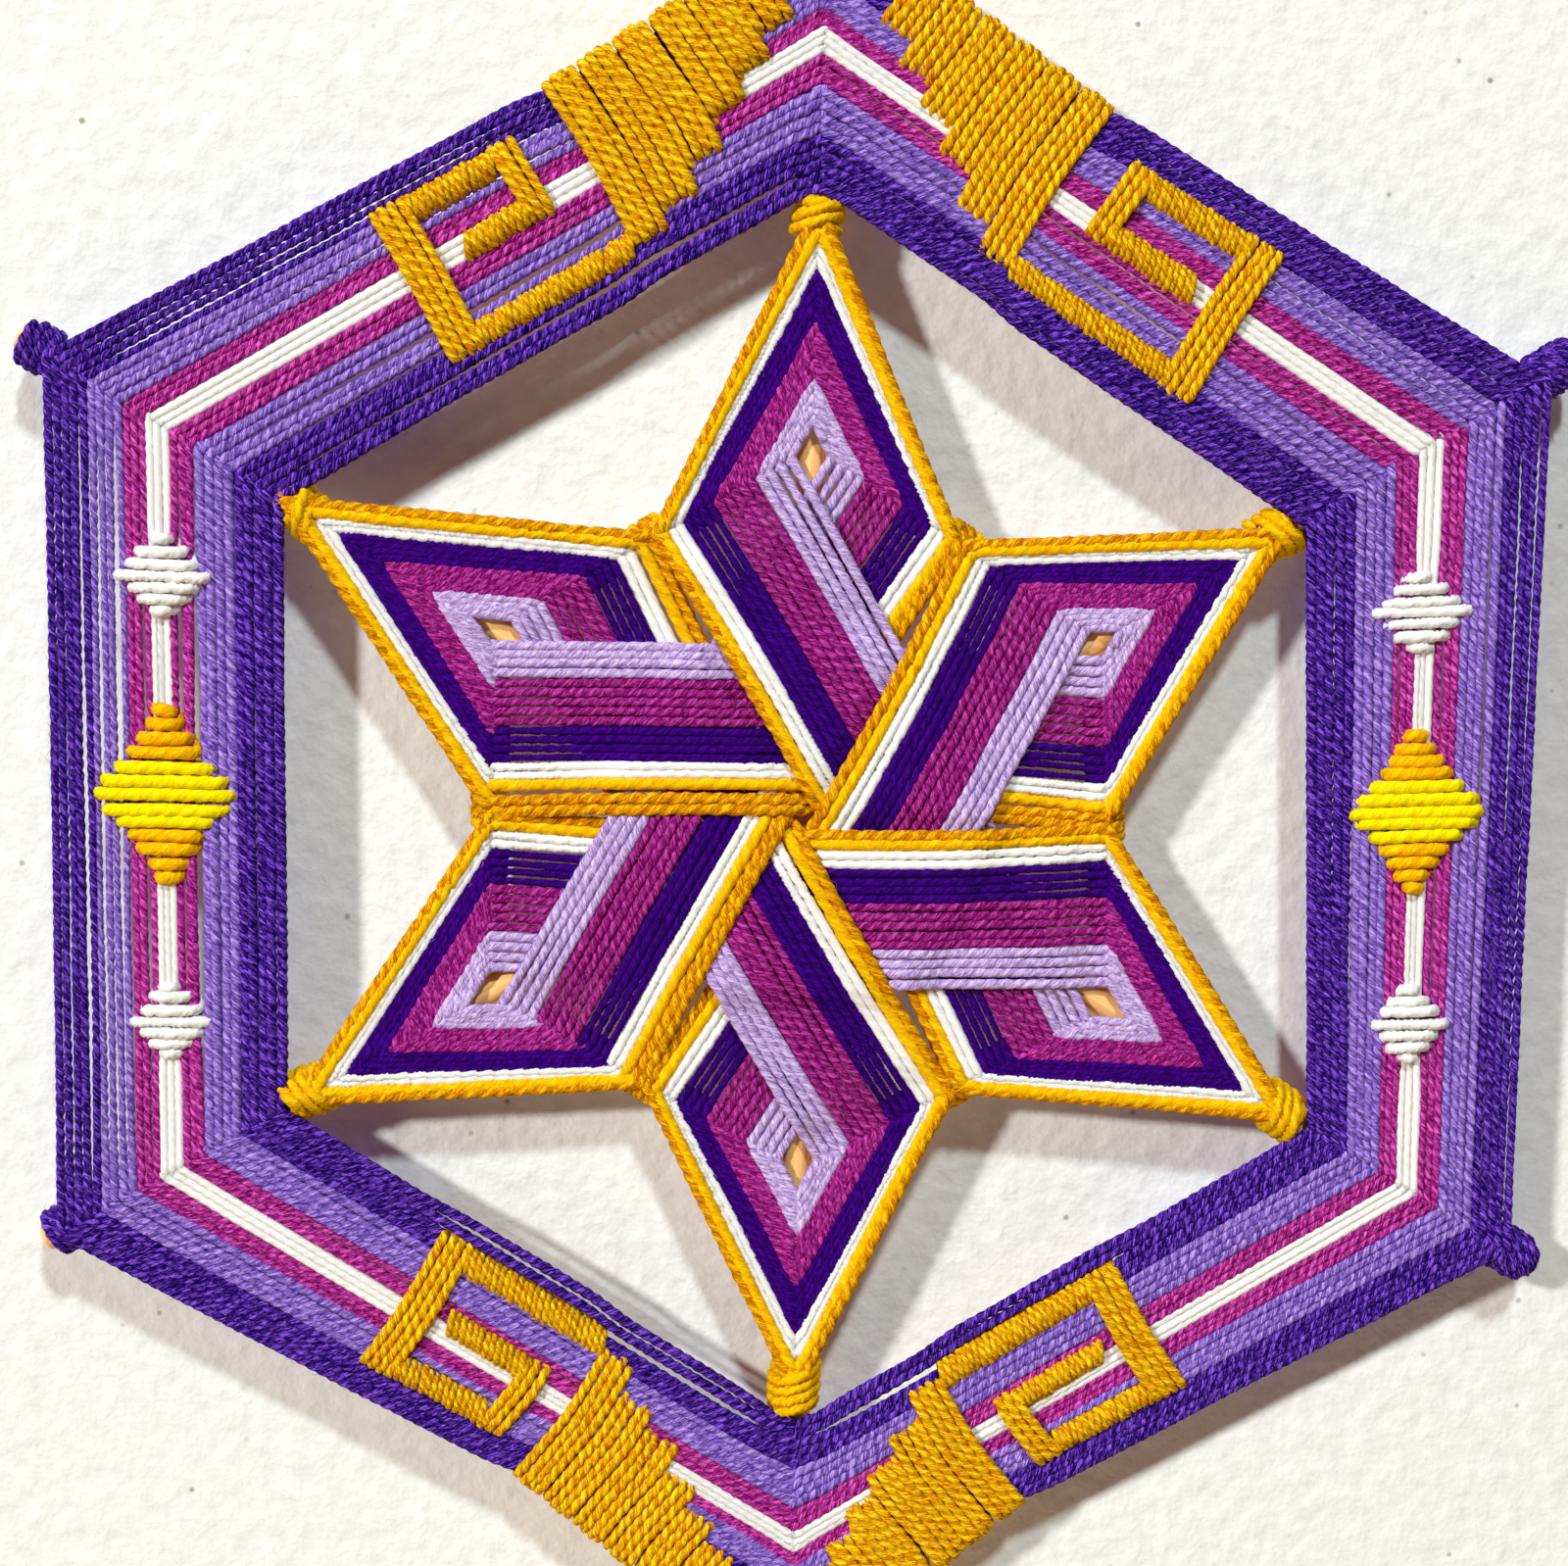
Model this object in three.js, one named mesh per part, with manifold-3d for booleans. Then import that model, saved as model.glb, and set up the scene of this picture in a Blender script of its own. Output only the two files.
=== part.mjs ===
// Ojo de dios wall mandala: three long sticks, six cross sticks and wound yarn.
// Millimetres, +Z up, front towards -Y, origin where the long sticks cross.
import * as THREE from "three";
import Module from "manifold-3d";

// Sticks
const stick_diameter = 5;
const cross_stick_diameter = 4;
const stub_length = 5.5;
const eye_radius = 65;

// Yarn
const yarn_diameter = 0.9;
const strand_gap = 0.45;
const fit_gap = 0.3;

// Star: rings of each colour from the eye outward
const eye_window = 3.2;
const centre_opening = 3.1;
const star_bands = [
  { name: "lavender", rings: 3 },
  { name: "magenta", rings: 3 },
  { name: "indigo", rings: 2 },
  { name: "white", rings: 1 },
  { name: "yellow", rings: 1 },
  { name: "mustard", rings: 1 },
];
const layer_gap = 0.65;
const rise_length = 4;

// Frame: loops of each colour from the inside outward
const frame_apothem = 95.8;
const frame_bands = [
  { name: "indigo_inner", colour: "indigo", loops: 5 },
  { name: "violet_inner", colour: "violet", loops: 4 },
  { name: "magenta_inner", colour: "magenta", loops: 3 },
  { name: "white", colour: "white", loops: 3 },
  { name: "magenta_outer", colour: "magenta", loops: 3 },
  { name: "violet_outer", colour: "violet", loops: 4 },
  { name: "indigo_outer", colour: "indigo", loops: 4 },
];

// Whippings, stepped blocks, keys and diamonds
const tip_whipping_length = 4.2;
const stub_turns = 2.5;
const step_turns = 3;
const step_pitch = 2.6;
const block_to_stick = 10;
const key_leg_width = 7;
const key_far_leg = -15;
const key_near_leg = 12.5;
const key_inner_end = -5;
// The colours that each turn of a diamond crosses, besides the white one, on either hand
const white_diamond_offset = 40;
const white_diamond_pitch = 2.8;
const white_diamond_colours = [0, 1, 1, 1, 0];
const yellow_diamond_pitch = 3.3;
const yellow_diamond_colours = [0, 1, 1, 2, 2, 2, 1, 1, 0];

// Derived sizes
const stick_radius = stick_diameter / 2;
const cross_radius = cross_stick_diameter / 2;
const yarn_radius = yarn_diameter / 2;
const strand_pitch = yarn_diameter + strand_gap;
const lane_pitch = 2 * (yarn_diameter + fit_gap);
const on_stick = stick_radius + fit_gap + yarn_radius;
const on_cross_stick = cross_radius + fit_gap + yarn_radius;
const over_strands = on_stick + yarn_diameter + fit_gap;
const behind_strands = on_stick - yarn_diameter - fit_gap;
const root_three = Math.sqrt(3);

const yarn = (color) => new THREE.MeshStandardMaterial({ color, roughness: 0.95, metalness: 0 });
const wood = new THREE.MeshStandardMaterial({ color: 0xd9a866, roughness: 0.7, metalness: 0 });
const colours = {
  indigo: yarn(0x3a1390),
  violet: yarn(0x6f57c4),
  magenta: yarn(0xa52a86),
  white: yarn(0xf3f1e8),
  lavender: yarn(0xcbb4ee),
  yellow: yarn(0xffc50a),
  mustard: yarn(0xe3a00f),
};

const group = new THREE.Group();
group.name = "ojo_de_dios";

function piece(name, geometry, material) {
  geometry.computeVertexNormals();
  const mesh = new THREE.Mesh(geometry, material);
  mesh.name = name;
  group.add(mesh);
}

// Booleans on closed geometries.
const wasm = await Module();
wasm.setup();

function solid(geometry) {
  const welded = new Map();
  const vertices = [];
  const corners = [];
  const position = geometry.getAttribute("position");
  const index = geometry.getIndex();
  for (let i = 0; i < index.count; i += 1) {
    const v = new THREE.Vector3().fromBufferAttribute(position, index.getX(i));
    const key = [v.x, v.y, v.z].map((n) => Math.round(n * 1e5)).join(" ");
    if (!welded.has(key)) {
      welded.set(key, vertices.length / 3);
      vertices.push(v.x, v.y, v.z);
    }
    corners.push(welded.get(key));
  }
  return new wasm.Manifold(new wasm.Mesh({
    numProp: 3,
    vertProperties: new Float32Array(vertices),
    triVerts: new Uint32Array(corners),
  }));
}

function geometryOf(manifold) {
  const mesh = manifold.getMesh();
  const geometry = new THREE.BufferGeometry();
  geometry.setAttribute("position", new THREE.BufferAttribute(mesh.vertProperties, 3));
  geometry.setIndex(new THREE.BufferAttribute(mesh.triVerts, 1));
  return geometry;
}

// Directions in the plane of the mandala. Arms and sides are counted clockwise from the top.
const arms = [0, 1, 2, 3, 4, 5];
const armAngle = (arm) => Math.PI / 2 - arm * Math.PI / 3;
const sideAngle = (side) => armAngle(side) - Math.PI / 6;

// A point out along a direction, across it on its clockwise side, and to the front.
function at(angle, out, across, front) {
  const c = Math.cos(angle);
  const s = Math.sin(angle);
  return new THREE.Vector3(out * c + across * s, -front, out * s - across * c);
}

// A closed shape between two rings of points, or through more of them.
function skin(rings) {
  const sides = rings[0].length;
  const vertices = rings.flat().flatMap((p) => [p.x, p.y, p.z]);
  const faces = [];
  for (let r = 0; r + 1 < rings.length; r += 1) {
    for (let j = 0; j < sides; j += 1) {
      const a = r * sides + j;
      const b = r * sides + (j + 1) % sides;
      faces.push(a, b, b + sides, a, b + sides, a + sides);
    }
  }
  const last = (rings.length - 1) * sides;
  for (let j = 1; j + 1 < sides; j += 1) {
    faces.push(0, j + 1, j, last, last + j, last + j + 1);
  }
  const geometry = new THREE.BufferGeometry();
  geometry.setAttribute("position", new THREE.Float32BufferAttribute(vertices, 3));
  geometry.setIndex(faces);
  return geometry;
}

// Slides a ring of points along a direction on to a plane.
function slide(ring, direction, normal, through) {
  const slope = direction.dot(normal);
  return ring.map((p) => {
    const distance = through.clone().sub(p).dot(normal) / slope;
    return p.clone().addScaledVector(direction, distance);
  });
}

function ringAround(centre, direction, radius, sides) {
  const front = new THREE.Vector3(0, -1, 0);
  if (Math.abs(front.dot(direction)) > 0.9) {
    front.set(1, 0, 0);
  }
  const u = front.addScaledVector(direction, -front.dot(direction)).normalize();
  const v = new THREE.Vector3().crossVectors(direction, u);
  const ring = [];
  for (let j = 0; j < sides; j += 1) {
    const turn = 2 * Math.PI * j / sides;
    ring.push(centre.clone()
      .addScaledVector(u, radius * Math.cos(turn))
      .addScaledVector(v, radius * Math.sin(turn)));
  }
  return ring;
}

// A yarn along a route, mitred where it turns.
function strand(points, sides = 4) {
  const heading = (i) => points[i + 1].clone().sub(points[i]).normalize();
  const rings = [ringAround(points[0], heading(0), yarn_radius, sides)];
  for (let i = 1; i < points.length; i += 1) {
    const forward = heading(i - 1);
    const normal = forward.clone();
    if (i + 1 < points.length) {
      normal.add(heading(i)).normalize();
    }
    rings.push(slide(rings[i - 1], forward, normal, points[i]));
  }
  return skin(rings);
}

// Least distance between two stretches of yarn.
function apart(a, b, c, d) {
  const u = b.clone().sub(a);
  const v = d.clone().sub(c);
  const w = a.clone().sub(c);
  const uu = u.dot(u);
  const uv = u.dot(v);
  const vv = v.dot(v);
  const across = uu * vv - uv * uv;
  const limit = (n) => Math.max(0, Math.min(1, n));
  let s = across > 1e-9 ? limit((uv * v.dot(w) - vv * u.dot(w)) / across) : 0;
  const t = limit((v.dot(w) + s * uv) / vv);
  s = limit((t * uv - u.dot(w)) / uu);
  return w.addScaledVector(u, s).addScaledVector(v, -t).length();
}

// The least gap of a wound yarn to itself, between stretches that are not neighbours.
function leastGap(points) {
  const reach = [0];
  for (let i = 1; i < points.length; i += 1) {
    reach.push(reach[i - 1] + points[i].distanceTo(points[i - 1]));
  }
  let least = Infinity;
  for (let i = 0; i + 1 < points.length; i += 1) {
    for (let j = i + 2; j + 1 < points.length; j += 1) {
      if (reach[j] - reach[i + 1] > 2 * yarn_diameter) {
        least = Math.min(least, apart(points[i], points[i + 1], points[j], points[j + 1]));
      }
    }
  }
  return least - yarn_diameter;
}

function winding(name, points, material) {
  console.log(`${name}: least gap to itself ${leastGap(points).toFixed(2)} mm`);
  piece(name, strand(points), material);
}

// Long sticks, halved into one another in three layers so that they lie in one plane
const frame_width = frame_bands.reduce((sum, band) => sum + (band.loops - 1) * strand_pitch, 0)
  + (frame_bands.length - 1) * lane_pitch;
const inner_corner = (frame_apothem - yarn_radius) / Math.cos(Math.PI / 6);
const outer_corner = (frame_apothem + frame_width + strand_pitch) / Math.cos(Math.PI / 6);
const stick_length = 2 * (outer_corner + stub_length);
const lap_length = 2 * (1.5 * stick_radius / Math.sin(Math.PI / 3) + 2 * fit_gap);
const lap_third = stick_diameter / 6;

function lapCut(from, to) {
  const cut = new THREE.BoxGeometry(2 * stick_diameter, lap_length, to - from);
  return solid(cut.translate(0, 0, (from + to) / 2));
}

function longStick(name, arm, kept_from, kept_to) {
  let stick = solid(new THREE.CylinderGeometry(stick_radius, stick_radius, stick_length, 16));
  if (kept_from > -stick_radius) {
    stick = stick.subtract(lapCut(-stick_diameter, kept_from));
  }
  if (kept_to < stick_radius) {
    stick = stick.subtract(lapCut(kept_to, stick_diameter));
  }
  const along = at(armAngle(arm), 1, 0, 0);
  const front = new THREE.Vector3(0, -1, 0);
  const across = new THREE.Vector3().crossVectors(along, front);
  const turn = new THREE.Matrix4().makeBasis(across, along, front);
  piece(name, geometryOf(stick).applyMatrix4(turn), wood);
}

longStick("stick_upright", 0, lap_third + fit_gap / 2, stick_radius);
longStick("stick_rising", 1, -lap_third + fit_gap / 2, lap_third - fit_gap / 2);
longStick("stick_falling", 5, -stick_radius, -lap_third - fit_gap / 2);

// Cross sticks, sawn at a slant to butt against the flanks of the long sticks
for (const arm of arms) {
  const start = at(armAngle(arm), eye_radius, 0, 0);
  const end = at(armAngle(arm + 1), eye_radius, 0, 0);
  const along = end.clone().sub(start).normalize();
  const ring = ringAround(start, along, cross_radius, 12);
  const flank = stick_radius + fit_gap;
  const start_normal = at(armAngle(arm), 0, 1, 0);
  const end_normal = at(armAngle(arm + 1), 0, 1, 0);
  const near = slide(ring, along, start_normal, start_normal.clone().multiplyScalar(flank));
  const far = slide(ring, along, end_normal, end_normal.clone().multiplyScalar(-flank));
  piece(`cross_stick_${arm + 1}`, skin([near, far]), wood);
}

// Star: two yarns of each colour, each on every second petal. A strand leaves the left arm of a
// petal in front, runs straight past the centre and reaches the right arm two petals on at the
// back, so that every petal laps over the one before it.
const ring_count = star_bands.reduce((sum, band) => sum + band.rings, 0);
const ring_pitch = (eye_radius / 2 - centre_opening - eye_window) / ring_count;
const last_ring = eye_radius / 2 - centre_opening;
const tip_slope = (inner_corner - tip_whipping_length - 2 * yarn_diameter - eye_radius) / last_ring;
const layer_step = yarn_diameter + layer_gap;
const chord_half = eye_radius * root_three / 2;
const seam_ramp = centre_opening / root_three;

function armPoint(petal, arm, ring) {
  const angle = armAngle(petal);
  if (arm === "tip") {
    return at(angle, eye_radius + tip_slope * ring, 0, on_stick);
  }
  const hand = arm === "left" ? -1 : 1;
  return at(angle, eye_radius - ring / 2, hand * ring * root_three / 2, on_cross_stick);
}

function chordPoints(petal, from_ring, to_ring) {
  const start = armPoint(petal, "left", from_ring);
  const end = armPoint(petal + 2, "right", to_ring);
  const seam = (eye_radius / 2 - (from_ring + to_ring) / 2) / root_three;
  const stations = [
    -chord_half + rise_length,
    -seam - seam_ramp,
    -seam + seam_ramp,
    seam - seam_ramp,
    seam + seam_ramp,
  ].sort((a, b) => a - b);
  const drop = (x) => Math.max(-1, Math.min(1, x / seam_ramp)) * layer_step / 2;
  const points = [];
  for (const station of stations) {
    const point = start.clone().lerp(end, (station + chord_half) / (2 * chord_half));
    point.y = -(on_stick + layer_step - drop(station + seam) - drop(station - seam));
    if (points.length === 0 || point.distanceTo(points[points.length - 1]) > yarn_diameter / 2) {
      points.push(point);
    }
  }
  return points;
}

function starRoute(first_petal, first_ring, rings) {
  const points = [];
  const step = ring_pitch / 9;
  let ring = first_ring;
  for (let turn = 0; turn < 3 * rings; turn += 1) {
    const petal = first_petal + 2 * turn;
    points.push(armPoint(petal, "right", ring));
    points.push(armPoint(petal, "tip", ring + step));
    points.push(armPoint(petal, "left", ring + 2 * step));
    points.push(...chordPoints(petal, ring + 2 * step, ring + 3 * step));
    ring += 3 * step;
  }
  const last = points[points.length - 1];
  const stop = armPoint(first_petal, "right", ring);
  const run = stop.distanceTo(last);
  points.push(last.clone().lerp(stop, (run - 2 * yarn_diameter) / run));
  return points;
}

let star_ring = eye_window;
for (const band of star_bands) {
  for (const [first_petal, letter] of [[0, "a"], [1, "b"]]) {
    const route = starRoute(first_petal, star_ring, band.rings);
    winding(`star_${band.name}_${letter}`, route, colours[band.name]);
  }
  star_ring += band.rings * ring_pitch;
}

// Frame: each colour one yarn wound clockwise over the six arms, moving out a little at each arm
let band_start = frame_apothem;
for (const band of frame_bands) {
  band.first = band_start;
  band.last = band_start + (band.loops - 1) * strand_pitch;
  band_start = band.last + lane_pitch;
  const apothem = (n) => band.first + n * strand_pitch / 6;
  const corner = (n) => {
    const before = apothem(n - 1);
    const after = apothem(n);
    const across = (after * Math.cos(Math.PI / 3) - before) / Math.sin(Math.PI / 3);
    return at(sideAngle(n % 6), after, across, on_stick);
  };
  const count = 6 * band.loops;
  const setback = 2 * yarn_diameter;
  const points = [at(sideAngle(0), apothem(0), setback - apothem(0) / root_three, on_stick)];
  for (let n = 1; n < count; n += 1) {
    points.push(corner(n));
  }
  const final = apothem(count - 1);
  points.push(at(sideAngle(5), final, final / root_three - setback, on_stick));
  winding(`frame_${band.name}`, points, colours[band.colour]);
}

// Lanes between the colours of the frame, where whipping yarn passes to the back.
// Lane n lies outside colour n, and the last lane runs outside the whole frame.
function lane(n, side) {
  return frame_bands[n].last + side * strand_pitch / 6 + lane_pitch / 2;
}

// Stub whippings on the ends of the long sticks
const whipping_steps = 6;
const whipping_radius = on_stick / Math.cos(Math.PI / whipping_steps);
const stub_start = outer_corner + yarn_diameter + fit_gap;
for (const arm of arms) {
  const points = [];
  for (let n = 0; n <= stub_turns * whipping_steps; n += 1) {
    const turn = 2 * Math.PI * n / whipping_steps;
    const out = stub_start + strand_pitch * n / whipping_steps;
    const across = whipping_radius * Math.sin(turn);
    points.push(at(armAngle(arm), out, across, whipping_radius * Math.cos(turn)));
  }
  winding(`stub_whipping_${arm + 1}`, points, colours.indigo);
}

// Tip whippings between the star and the frame, close-wound, each a plain sleeve
for (const arm of arms) {
  const start = inner_corner - tip_whipping_length;
  const end = inner_corner - yarn_diameter;
  const ends = [start, end].map((out) => at(armAngle(arm), out, 0, 0));
  const along = at(armAngle(arm), 1, 0, 0);
  const hollow = [start - 1, end + 1].map((out) => at(armAngle(arm), out, 0, 0));
  const bore = stick_radius + fit_gap;
  const sleeve = solid(skin(ends.map((p) => ringAround(p, along, bore + yarn_diameter, 12))));
  const hole = solid(skin(hollow.map((p) => ringAround(p, along, bore, 12))));
  piece(`tip_whipping_${arm + 1}`, geometryOf(sleeve.subtract(hole)), colours.yellow);
}

// Turns of yarn round part of the frame, from an inner lane to an outer lane at each place
function turnsRound(side, turns) {
  const angle = sideAngle(side);
  const points = [];
  for (const turn of turns) {
    const inner = lane(turn.inner, side);
    const outer = lane(turn.outer, side);
    points.push(at(angle, inner, turn.place, behind_strands));
    points.push(at(angle, inner, turn.place, over_strands));
    points.push(at(angle, outer, turn.place, over_strands));
    points.push(at(angle, outer, turn.place, behind_strands));
  }
  return points;
}

// Stepped blocks, each step ending one colour further out
const mirrored_sides = [
  { side: 5, hand: 1 },
  { side: 0, hand: -1 },
  { side: 2, hand: 1 },
  { side: 3, hand: -1 },
];
const outer_lane = frame_bands.length - 1;
const step_lanes = [0, 1, 2, 3, 4];
const block_turns = step_turns * step_lanes.length;
mirrored_sides.forEach(({ side, hand }, number) => {
  const last_place = lane(4, side) / root_three - block_to_stick;
  const turns = [];
  for (let n = 0; n < block_turns; n += 1) {
    const place = last_place - (block_turns - 1 - n) * step_pitch;
    const inner = step_lanes[Math.floor(n / step_turns)];
    turns.push({ inner, outer: outer_lane, place: hand * place });
  }
  winding(`stepped_block_${number + 1}`, turnsRound(side, turns), colours.mustard);

  // Keys: a squared spiral of close whipping that starts at the longest step
  const wall = yarn_radius;
  const block_edge = last_place - (block_turns - 1) * step_pitch - yarn_radius - fit_gap;
  const half_leg = key_leg_width / 2;
  const legs = [
    { from: key_far_leg - half_leg, to: block_edge, inner: 0, outer: 1 },
    { from: key_far_leg - half_leg, to: key_far_leg + half_leg, inner: 0, outer: 5 },
    { from: key_far_leg - half_leg, to: key_near_leg + half_leg, inner: 4, outer: 5 },
    { from: key_near_leg - half_leg, to: key_near_leg + half_leg, inner: 2, outer: 5 },
    { from: key_inner_end, to: key_near_leg + half_leg, inner: 2, outer: 3 },
  ];
  const box = (leg, edge, low, high, overrun) => {
    const low_out = lane(leg.inner, side) - edge;
    const high_out = lane(leg.outer, side) + edge;
    const length = leg.to - leg.from + 2 * overrun;
    const shape = new THREE.BoxGeometry(length, high_out - low_out, high - low);
    const middle = hand * (leg.from + leg.to) / 2;
    return solid(shape.translate(middle, (low_out + high_out) / 2, (low + high) / 2));
  };
  const low = behind_strands - yarn_radius;
  const high = over_strands + yarn_radius;
  let key = box(legs[0], wall, low, high, 0);
  for (const leg of legs.slice(1)) {
    key = key.add(box(leg, wall, low, high, 0));
  }
  for (const leg of legs) {
    key = key.subtract(box(leg, -wall, low + yarn_diameter, high - yarn_diameter, fit_gap));
  }
  const angle = sideAngle(side);
  const turn = new THREE.Matrix4().makeBasis(at(angle, 0, 1, 0), at(angle, 1, 0, 0), at(angle, 0, 0, 1));
  piece(`key_${number + 1}`, geometryOf(key).applyMatrix4(turn), colours.mustard);
});

// Diamonds round the white yarn of the upright sides, widening by one colour at a time
function diamond(name, side, middle, pitch, colours_crossed, material) {
  const turns = colours_crossed.map((crossed, n) => ({
    inner: 2 - crossed,
    outer: 3 + crossed,
    place: middle + (n - (colours_crossed.length - 1) / 2) * pitch,
  }));
  winding(name, turnsRound(side, turns), material);
}

[4, 1].forEach((side, number) => {
  const white = [white_diamond_pitch, white_diamond_colours, colours.white];
  const yellow = [yellow_diamond_pitch, yellow_diamond_colours, colours.yellow];
  diamond(`white_diamond_${2 * number + 1}`, side, -white_diamond_offset, ...white);
  diamond(`white_diamond_${2 * number + 2}`, side, white_diamond_offset, ...white);
  diamond(`yellow_diamond_${number + 1}`, side, 0, ...yellow);
});

export default group;
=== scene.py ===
import math

import bpy
import numpy as np
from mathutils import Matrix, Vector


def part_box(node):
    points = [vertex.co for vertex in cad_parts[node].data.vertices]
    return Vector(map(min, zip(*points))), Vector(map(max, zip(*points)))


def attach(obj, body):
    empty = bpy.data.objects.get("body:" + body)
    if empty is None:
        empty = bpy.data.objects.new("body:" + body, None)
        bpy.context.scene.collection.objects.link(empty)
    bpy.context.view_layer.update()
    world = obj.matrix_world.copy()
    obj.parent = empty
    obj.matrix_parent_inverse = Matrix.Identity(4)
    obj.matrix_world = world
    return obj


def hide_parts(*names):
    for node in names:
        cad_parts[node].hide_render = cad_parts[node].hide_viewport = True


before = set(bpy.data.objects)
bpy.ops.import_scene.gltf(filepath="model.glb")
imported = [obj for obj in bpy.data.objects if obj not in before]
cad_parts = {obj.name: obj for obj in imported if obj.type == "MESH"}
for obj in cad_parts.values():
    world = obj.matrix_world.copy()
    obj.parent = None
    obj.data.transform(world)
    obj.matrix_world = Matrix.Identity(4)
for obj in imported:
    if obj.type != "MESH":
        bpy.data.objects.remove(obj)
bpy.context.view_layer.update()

# Long sticks
# Three straight dowels of pale wood, a little thinner than a pencil. They are halved into one
# another where they cross, so that they lie in one plane, and their ends are sawn off square.
# Lengths are in millimetres, and the arms stand a degree or so off an even spread.
mm = 0.001
stick_radius = 2.5
dowel_sides = 32
stick_length = (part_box("stick_upright")[1].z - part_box("stick_upright")[0].z) / mm
lap_length = 9.9
lap_third = 2 * stick_radius / 6
lap_play = 0.15
end_chamfer = 0.5
arm_turns = (-0.6, 1.7, -0.8, 0.5, 0.2, -1.0)
stub_trims = (0.0, 1.0, 2.8, 0.0, 6.2, 2.0)


def clear_selection():
    bpy.ops.object.select_all(action="DESELECT")


def select_only(piece):
    clear_selection()
    piece.select_set(True)
    bpy.context.view_layer.objects.active = piece


def dye(red, green, blue):
    # A colour as seen on a screen, 0 to 255, turned into the light it gives back.
    levels = []
    for level in (red, green, blue):
        share = level / 255
        levels.append(share / 12.92 if share < 0.04045 else ((share + 0.055) / 1.055) ** 2.4)
    return (*levels, 1)


def wood_finish():
    material = bpy.data.materials.new("pale_dowel_wood")
    material.use_nodes = True
    nodes = material.node_tree.nodes
    links = material.node_tree.links
    shader = nodes["Principled BSDF"]
    shader.inputs["Roughness"].default_value = 0.62
    grain_place = nodes.new("ShaderNodeAttribute")
    grain_place.attribute_name = "grain"
    stretch = nodes.new("ShaderNodeMapping")
    stretch.inputs["Scale"].default_value = (1400, 1400, 70)
    links.new(grain_place.outputs["Vector"], stretch.inputs["Vector"])
    fibres = nodes.new("ShaderNodeTexNoise")
    fibres.inputs["Scale"].default_value = 1.0
    fibres.inputs["Detail"].default_value = 6
    fibres.inputs["Roughness"].default_value = 0.65
    links.new(stretch.outputs["Vector"], fibres.inputs["Vector"])
    tint = nodes.new("ShaderNodeValToRGB")
    tint.color_ramp.elements[0].position = 0.32
    tint.color_ramp.elements[0].color = dye(242, 170, 84)
    tint.color_ramp.elements[1].position = 0.68
    tint.color_ramp.elements[1].color = dye(255, 218, 148)
    links.new(fibres.outputs["Fac"], tint.inputs["Fac"])
    links.new(tint.outputs["Color"], shader.inputs["Base Color"])
    relief = nodes.new("ShaderNodeBump")
    relief.inputs["Strength"].default_value = 0.5
    relief.inputs["Distance"].default_value = 0.0002
    links.new(fibres.outputs["Fac"], relief.inputs["Height"])
    links.new(relief.outputs["Normal"], shader.inputs["Normal"])
    return material


dowel_wood = wood_finish()


def dowel(name, radius, length):
    clear_selection()
    bpy.ops.mesh.primitive_cylinder_add(vertices=dowel_sides, radius=radius * mm, depth=length * mm)
    stick = bpy.context.object
    stick.name = name
    stick.data.name = name
    return stick


def note_grain(stick):
    places = np.zeros(len(stick.data.vertices) * 3, np.float32)
    stick.data.vertices.foreach_get("co", places)
    grain = stick.data.attributes.new("grain", "FLOAT_VECTOR", "POINT")
    grain.data.foreach_set("vector", places)


def cut_lap(stick, front_from, front_to):
    clear_selection()
    middle = -(front_from + front_to) / 2 * mm
    bpy.ops.mesh.primitive_cube_add(size=1, location=(0, middle, 0))
    saw = bpy.context.object
    saw.scale = (4 * stick_radius * mm, (front_to - front_from) * mm, lap_length * mm)
    bpy.context.view_layer.update()
    select_only(stick)
    cut = stick.modifiers.new("lap", "BOOLEAN")
    cut.operation = "DIFFERENCE"
    cut.solver = "EXACT"
    cut.object = saw
    bpy.ops.object.modifier_apply(modifier="lap")
    bpy.data.objects.remove(saw)


def stand_stick(stick, turn, place=(0, 0, 0)):
    select_only(stick)
    stick.rotation_euler = (0, turn, 0)
    stick.location = place
    bpy.ops.object.transform_apply(location=True, rotation=True, scale=True)


def finish_stick(stick, node):
    stick.data.materials.clear()
    stick.data.materials.append(dowel_wood)
    select_only(stick)
    bpy.ops.object.shade_smooth_by_angle(angle=math.radians(40))
    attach(stick, "root")
    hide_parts(node)


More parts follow.
